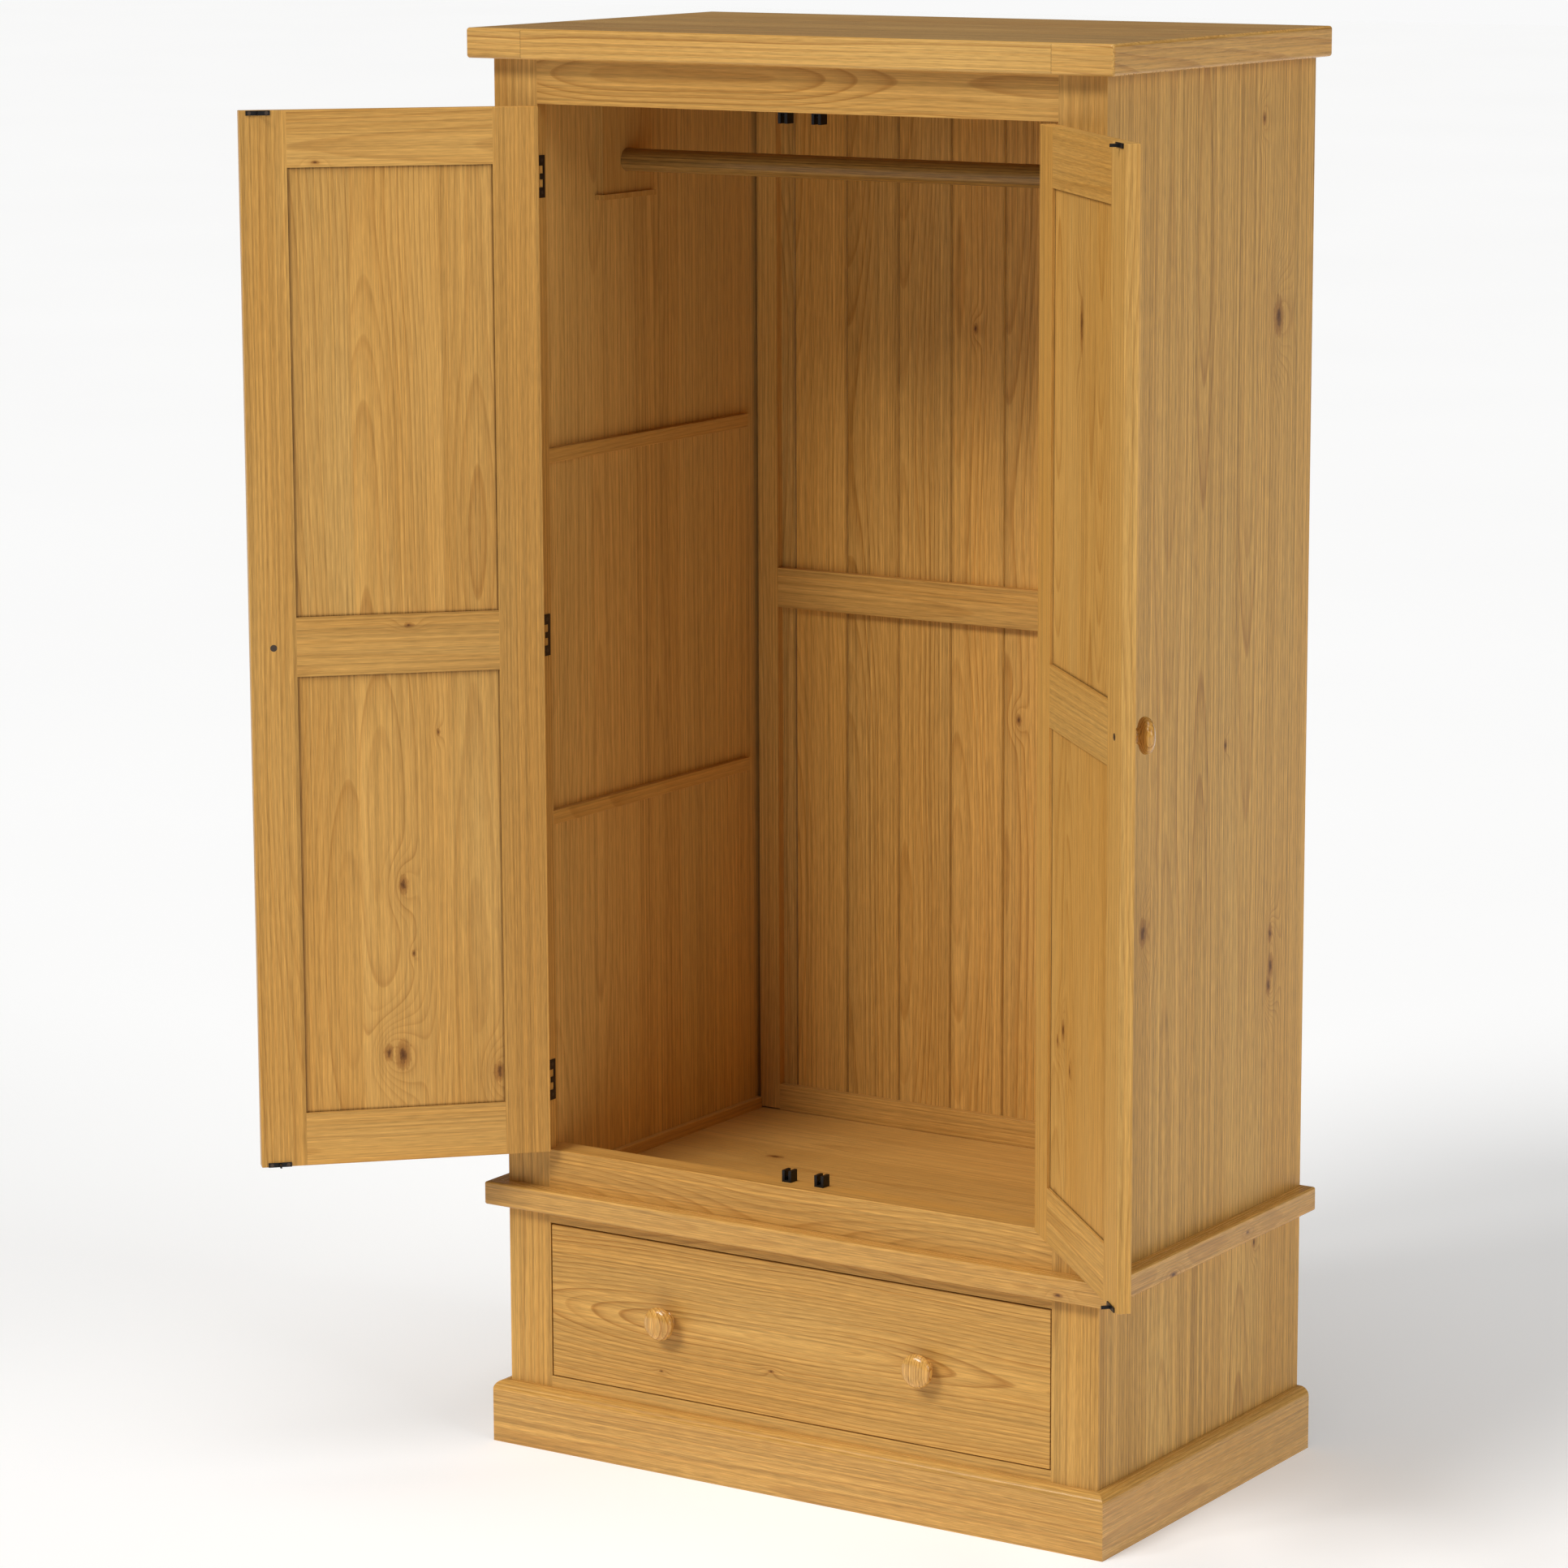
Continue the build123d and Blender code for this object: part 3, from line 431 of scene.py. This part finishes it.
def pine(
    name,
    along,
    across,
    seed,
    board=None,
    board_start=0.0,
    ring=0.0045,
    pith=0.05,
    drift=0.05,
    aside=0.0,
    wave=0.02,
    contrast=0.5,
    knots=(),
    origin=Vector((0, 0, 0)),
    mitred=False,
    gloss=0.0,
    tone=1.0,
    fine=1.0,
    roam=0.9,
    vary=0.13,
    joint=0.0,
    rim=None,
    end_grain=None,
    end_block=None,
    warmth=1.0,
    face=0.0,
    middle=0.0,
):
    """Waxed pine whose growth rings follow a trunk that lies along the grain.

    along is the grain's direction and across the width's, both in the frame. seed sets the random
    numbers. board is the width of the boards that the piece is made of, counted from board_start:
    each has a grain of its own, vary is how much they differ in tone, and joint how dark the lines
    between them are. ring is the distance between two growth rings, pith the depth of the trunk's
    middle under the face, drift how far and roam how often it wanders along the board, which makes
    the arches. aside is how far the board was sawn to one side of the trunk's middle, which makes
    straight lines, and wave is how much the rings waver. contrast is the strength of the rings and
    fine that of the fibres. Each knot is (across, along, radius) from origin, with how far it is
    drawn out along the grain if not KNOT_STRETCH. mitred is for a moulding whose lengths meet at the
    front corners. rim is the opening (across low, high, along low, high) that a panel fills: its
    edges get painted shade, for the shadow in the recess round the panel. end_grain and end_block
    are for turn_at_ends and set_end_blocks. gloss is the
    amount of wax, tone the lightness, and warmth how reddish the patches are. face and middle are
    where the piece's middle lies, through its thickness and across it.
    """
    wood = Pine(name, along, across, seed, origin, face)
    if mitred:
        wood.turn_at_mitres()
    if end_grain:
        wood.turn_at_ends(end_grain)
    if end_block:
        wood.set_end_blocks(*end_block)
    wood.set_boards(board, board_start, middle)
    wood.grow_trunk(pith, drift, aside, wave, roam)
    wood.grow_knots(knots)
    wood.grow_rings(ring)
    wood.grow_fibres()
    level = wood.wood_level(tone, fine, vary)
    if joint:
        level = wood.add(level, wood.times(wood.joint_shade(board), -joint))
    # painted shade along a panel's edges, standing for the shadow in the recess round it
    if rim:
        level = wood.add(level, wood.times(wood.painted_rim_shade(rim), -PAINTED_RIM_SHADE))
    if wood.seam:
        level = wood.add(level, wood.times(wood.seam, -SEAM_SHADE))
    wood.finish(wood.wood_colour(contrast, vary, warmth), level, gloss)
    return wood.material


# ---------------------------------------------------------------- metal
def dark_metal(name, base, wear):
    """Lacquered dark metal: a faint orange peel and a little wear that shows as lighter flecks."""
    g = Graph(name)
    fleck = g.noise(g.place, 900.0, 3.0, 0.6)
    cloud = g.noise(g.place, 90.0, 2.0)
    worn = tuple(min(1.0, c * 4 + 0.02) for c in base)
    share = g.times(g.add(g.add(fleck, cloud), 0.1), wear, clamp=True)
    g.put(g.mix(share, base, worn), g.shader.inputs["Base Color"])
    g.shader.inputs["Metallic"].default_value = 0.6
    g.put(g.add(0.42, g.times(cloud, 0.25)), g.shader.inputs["Roughness"])
    g.bump(fleck, 0.00003)
    return g.material


# ---------------------------------------------------------------- dressing of the CAD nodes
# Looks that several pieces share.
STILE = dict(ring=0.0042, pith=0.07, drift=0.02, aside=0.05, contrast=0.5, fine=1.6)
PLINTH = dict(ring=0.005, pith=0.07, drift=0.02, aside=0.05, contrast=0.45, fine=1.8, gloss=0.3)
OUTER_SIDE = dict(board=side_board, ring=0.004, pith=0.06, drift=0.03, aside=0.06, wave=0.008, contrast=0.7,
                  fine=2.2, tone=0.97, warmth=0.4)
INNER_SIDE = dict(board=side_board, ring=0.0045, pith=0.06, drift=0.04, aside=0.04, wave=0.01, contrast=0.5,
                  fine=1.6, tone=1.06, warmth=-1.0)
DOOR_STILE = dict(ring=0.0042, pith=0.06, drift=0.03, aside=0.04, contrast=0.5, fine=1.5)
DOOR_RAIL = dict(ring=0.0046, drift=0.03, aside=0.02, contrast=0.5, fine=1.5)
DOOR_PANEL = dict(board=door_board, board_start=door_board_start, ring=0.0052, pith=0.06, drift=0.07,
                  contrast=0.6, fine=1.45)
KNOB = dict(ring=0.004, pith=0.03, aside=0.2, contrast=1.0, fine=2.0, gloss=0.5, tone=1.1)


def dress(node, material):
    """Give a CAD node its material."""
    piece = frame["nodes"][node]
    piece.data.materials.clear()
    piece.data.materials.append(material)


def dress_pine(node, along, across, seed, **looks):
    """Give a CAD node a pine of its own, whose trunk is placed from the middle of the piece."""
    origin = looks.get("origin", Vector())
    face = sum(reach(node, across.cross(along), origin)) / 2
    middle = sum(reach(node, across, origin)) / 2
    dress(node, pine(f"pine_{node}", along, across, seed, face=face, middle=middle, **looks))


def dress_face_frame():
    """The top board, and the stiles and rails round the doors and the drawer."""
    dress_pine("top_board", X, Y, 1, board=top_strip, ring=0.0055, contrast=0.8, fine=1.6, gloss=0.25,
               tone=1.04, end_grain=top_end, end_block=(top_front, top_block_start))
    for side, seed in (("left", 2), ("right", 3)):
        dress_pine(f"front_stile_{side}", Z, X, seed, **STILE)
    dress_pine("head_rail", X, Z, 4, ring=0.005, roam=1.6, contrast=0.7, fine=1.4)
    dress_pine("sill_rail", X, Z, 5, ring=0.0055, roam=1.6, contrast=0.7, fine=1.6)
    dress_pine("drawer_rail", X, Z, 6, ring=0.005, drift=0.04, contrast=0.45, fine=1.6)


def dress_sides():
    """The side walls, with the right one's knots where they are seen."""
    right_knots = [
        (-0.437, 0.787, 0.011),
        (-0.093, 0.680, 0.010),
        (-0.098, 0.655, 0.008),
        (-0.095, 0.725, 0.007),
        (-0.093, 1.533, 0.015),
        (-0.139, 1.789, 0.0055),
        (-0.224, 0.994, 0.005),
        (-0.129, 0.314, 0.005),
    ]
    left_knots = [(-0.12, 1.31, 0.011), (-0.40, 0.92, 0.014), (-0.31, 1.62, 0.005), (-0.21, 0.42, 0.012)]
    for side, knots, seed in (("right", right_knots, 7), ("left", left_knots, 8)):
        dress_pine(f"outer_side_{side}", Z, Y, seed, knots=knots, **OUTER_SIDE)
        dress_pine(f"inner_side_{side}", Z, Y, seed + 20, **INNER_SIDE)
    dress_pine("side_frames", Z, X, 11)


def dress_base():
    """The cabinet floor, the strips and battens, the plinth and the waist moulding."""
    floor_knots = [(-0.248, -0.220, 0.008), (-0.41, 0.10, 0.005)]
    dress_pine("cabinet_floor", X, Y, 12, board=floor_strip, ring=0.005, pith=0.07, drift=0.03, aside=0.02,
               contrast=0.45, fine=1.4, knots=floor_knots, gloss=0.05, tone=1.04, warmth=0.3)
    dress_pine("wall_strips", Y, Z, 13, contrast=0.35)
    dress_pine("catch_backings", X, Z, 14, contrast=0.35)
    dress_pine("plinth_front", X, Z, 15, tone=1.02, **PLINTH)
    for side, seed in (("left", 16), ("right", 17)):
        dress_pine(f"plinth_side_{side}", Y, Z, seed, tone=1.04, **PLINTH)
    dress_pine("plinth_back", X, Z, 18)
    # on the side lengths the grain has turned, and a place along it is y + TURNED_START
    side_knots = [(0.335, TURNED_START - 0.39, 0.006), (0.345, TURNED_START - 0.19, 0.003)]
    waist_knots = [(0.34, 0.41, 0.004), *side_knots]
    dress_pine("waist_moulding", X, Z, 19, ring=0.005, drift=0.04, contrast=0.55, mitred=True, gloss=0.3,
               fine=1.7, knots=waist_knots)


def dress_back():
    """The boards of the back and the frame that stands inside them."""
    back_knots = [(0.024, 0.956, 0.005), (-0.046, 1.485, 0.0045)]
    dress_pine("back_boards", Z, X, 21, board=back_board, ring=0.005, aside=0.02, wave=0.012, contrast=1.0,
               fine=1.7, vary=0.24, joint=0.35, warmth=0.8, knots=back_knots)
    for side, seed in (("left", 22), ("right", 23)):
        dress_pine(f"back_stile_{side}", Z, X, seed, aside=0.04, contrast=0.45, fine=1.4)
    dress_pine("back_rails", X, Z, 24, ring=0.005, fine=1.4)


def dress_inside():
    """The hanging rail, its supports, and the drawer's runners."""
    # tone=0.56 darkens the hanging rail as painted shade, for the shade high inside the cabinet
    dress_pine("hanging_rail", X, Z, 25, ring=0.005, pith=0.03, aside=0.04, fine=1.4, gloss=0.08, tone=0.56)
    for side, seed in (("left", 26), ("right", 27)):
        dress_pine(f"rail_support_{side}", Z, Y, seed, ring=0.005, contrast=0.4)
        dress_pine(f"drawer_runner_{side}", Y, Z, seed + 2, contrast=0.35)


def dress_door(side, seed, frame_knots, lower_knots, upper_knots):
    """One door: stiles and panels with upright grain, rails with level grain."""
    hinge, width = door_axes(side)
    origin = Vector((hinge.x, hinge.y, 0))
    stiles = [f"{side}_door_{part}" for part in ("hinge_stile", "lock_stile")]
    rails = [f"{side}_door_{part}" for part in ("bottom_rail", "middle_rail", "top_rail")]
    panels = [(f"{side}_door_lower_panel", lower_knots), (f"{side}_door_upper_panel", upper_knots)]
    for number, node in enumerate(stiles):
        dress_pine(node, Z, width, seed + number, origin=origin, **DOOR_STILE)
    for number, node in enumerate(reversed(rails)):
        knots = frame_knots.get(node, ())
        dress_pine(node, width, Z, seed + 3 + number, knots=knots, origin=origin, **DOOR_RAIL)

    (_, opening_left), (opening_right, _) = [reach(node, width, hinge) for node in stiles]
    edges = [reach(node, Z, Vector()) for node in rails]
    for number, (node, knots) in enumerate(panels):
        # the opening whose edges get painted shade, for the shadow of the recess round the panel
        rim = (opening_left, opening_right, edges[number][1], edges[number + 1][0])
        dress_pine(node, Z, width, seed + 7 + number, knots=knots, rim=rim, origin=origin, **DOOR_PANEL)
    dress_pine(f"{side}_door_knob", Z, width, seed + 11, origin=origin, **KNOB)


def dress_doors():
    """Both doors, with the knots that each shows on its inner face."""
    left_frame = {
        "left_door_top_rail": [(1.7348, 0.290, 0.003)],
        "left_door_middle_rail": [(1.1336, 0.180, 0.004)],
    }
    left_lower = [
        (0.192, 0.7884, 0.0075),
        (0.196, 0.5587, 0.012),
        (0.215, 0.563, 0.007),
        (0.068, 0.530, 0.008),
        (0.1796, 0.6951, 0.003),
        (0.1426, 0.9898, 0.003),
    ]
    dress_door("left", 40, left_frame, left_lower, [])

    right_frame = {"right_door_top_rail": [(1.722, 0.13, 0.003)]}
    right_lower = [(0.119, 0.702, 0.008), (0.0926, 0.683, 0.005), (0.151, 0.6585, 0.005)]
    long_knot = (0.185, 1.5757, 0.009, 4.5)
    dress_door("right", 60, right_frame, right_lower, [long_knot])


def dress_drawer():
    """The drawer: one wide board in front, plain boards behind it."""
    drawer_knots = [(0.1625, -0.036, 0.003), (0.135, -0.21, 0.0022)]
    dress_pine("drawer_front", X, Z, 31, ring=0.0058, drift=0.07, roam=1.6, wave=0.035, contrast=1.0,
               fine=1.6, knots=drawer_knots)
    for side, seed in (("left", 32), ("right", 33)):
        dress_pine(f"drawer_side_{side}", Y, Z, seed, ring=0.005, contrast=0.35)
    dress_pine("drawer_back", X, Z, 34, contrast=0.35)
    dress_pine("drawer_bottom", X, Y, 35, board=drawer_bottom_board, contrast=0.3)
    dress_pine("drawer_knobs", Z, X, 36, **KNOB)


def dress_metal():
    """Hinges, catches, strikers and screws."""
    bronze = dark_metal("dark_bronze", (0.03, 0.02, 0.014), 0.35)
    black = dark_metal("black_lacquer", (0.012, 0.011, 0.011), 0.2)
    screw = dark_metal("screw_bronze", (0.06, 0.042, 0.03), 0.5)
    dress("frame_hinges", bronze)
    dress("ball_catches", black)
    dress("frame_screws", screw)
    dress("drawer_screws", screw)
    for side in ("left", "right"):
        dress(f"{side}_door_hinge_leaves", bronze)
        dress(f"{side}_door_strikers", black)
        dress(f"{side}_door_screws", screw)


# ---------------------------------------------------------------- studio
def floor_sheet():
    """A wide pale floor that runs out of sight, with a faint light of its own."""
    far = 40.0
    mesh = bpy.data.meshes.new("studio_floor")
    corners = [(-far, -far, 0), (far, -far, 0), (far, far, 0), (-far, far, 0)]
    mesh.from_pydata(corners, [], [(0, 1, 2, 3)])
    floor = bpy.data.objects.new("studio_floor", mesh)
    bpy.context.scene.collection.objects.link(floor)
    g = Graph("pale_floor")
    cloud = g.noise(g.place, 0.6, 3.0)
    pale = g.mix(g.add(0.5, cloud, clamp=True), (0.90, 0.90, 0.895), (0.94, 0.94, 0.935))
    g.put(pale, g.shader.inputs["Base Color"])
    g.shader.inputs["Roughness"].default_value = 0.8
    g.shader.inputs["Emission Color"].default_value = (1, 1, 1, 1)
    g.shader.inputs["Emission Strength"].default_value = 0.16
    mesh.materials.append(g.material)


def soft_light(name, azimuth, elevation, strength, softness):
    """A distant soft box, at an azimuth (0 in front, 90 to the right) and elevation from the object."""
    data = bpy.data.lights.new(name, "SUN")
    data.energy = strength
    data.angle = math.radians(softness)
    lamp = bpy.data.objects.new(name, data)
    a, e = math.radians(azimuth), math.radians(elevation)
    towards = Vector((math.sin(a) * math.cos(e), -math.cos(a) * math.cos(e), math.sin(e)))
    lamp.rotation_euler = towards.to_track_quat("Z", "Y").to_euler()
    lamp.location = towards * 6
    bpy.context.scene.collection.objects.link(lamp)


def pale_surround(lighting, seen):
    """A white world of one strength for the light that it sheds and another for how it is seen."""
    world = bpy.data.worlds.new("studio")
    bpy.context.scene.world = world
    world.use_nodes = True
    tree = world.node_tree
    background = tree.nodes["Background"]
    path = tree.nodes.new("ShaderNodeLightPath")
    level = tree.nodes.new("ShaderNodeMapRange")
    level.inputs["To Min"].default_value = lighting
    level.inputs["To Max"].default_value = seen
    tree.links.new(path.outputs["Is Camera Ray"], level.inputs["Value"])
    tree.links.new(level.outputs[0], background.inputs["Strength"])
    background.inputs["Color"].default_value = (1, 1, 1, 1)


def studio_light():
    """A pale surround, a high key from the front, light from above and from the right, and a glint.

    The glint stands where the rounded front edges mirror it into the camera.
    """
    pale_surround(lighting=0.08, seen=0.95)
    soft_light("key", -10, 41, 1.55, 20)
    soft_light("top", 10, 82, 1.0, 40)
    soft_light("fill_right", 82, 22, 0.9, 30)
    soft_light("glint", -31, 38, 0.42, 9)


def camera():
    """A long lens, in front and to the right, a little above the top, looking slightly down."""
    place = Vector((3.6546, -6.1809, 2.2006))
    heading, pitch, roll = 33.0346, 10.5490, -0.2177
    data = bpy.data.cameras.new("camera")
    data.sensor_width = 36.0
    data.lens = 122.63
    data.clip_start = 0.1
    data.clip_end = 200
    cam = bpy.data.objects.new("camera", data)
    turn = Matrix.Rotation(math.radians(heading), 4, "Z")
    tilt = Matrix.Rotation(math.radians(90 - pitch), 4, "X")
    lean = Matrix.Rotation(math.radians(roll), 4, "Z")
    cam.matrix_world = Matrix.Translation(place) @ turn @ tilt @ lean
    bpy.context.scene.collection.objects.link(cam)
    bpy.context.scene.camera = cam


dress_face_frame()
dress_sides()
dress_base()
dress_back()
dress_inside()
dress_doors()
dress_drawer()
dress_metal()
floor_sheet()
studio_light()
camera()
bpy.context.scene.view_settings.view_transform = "Standard"
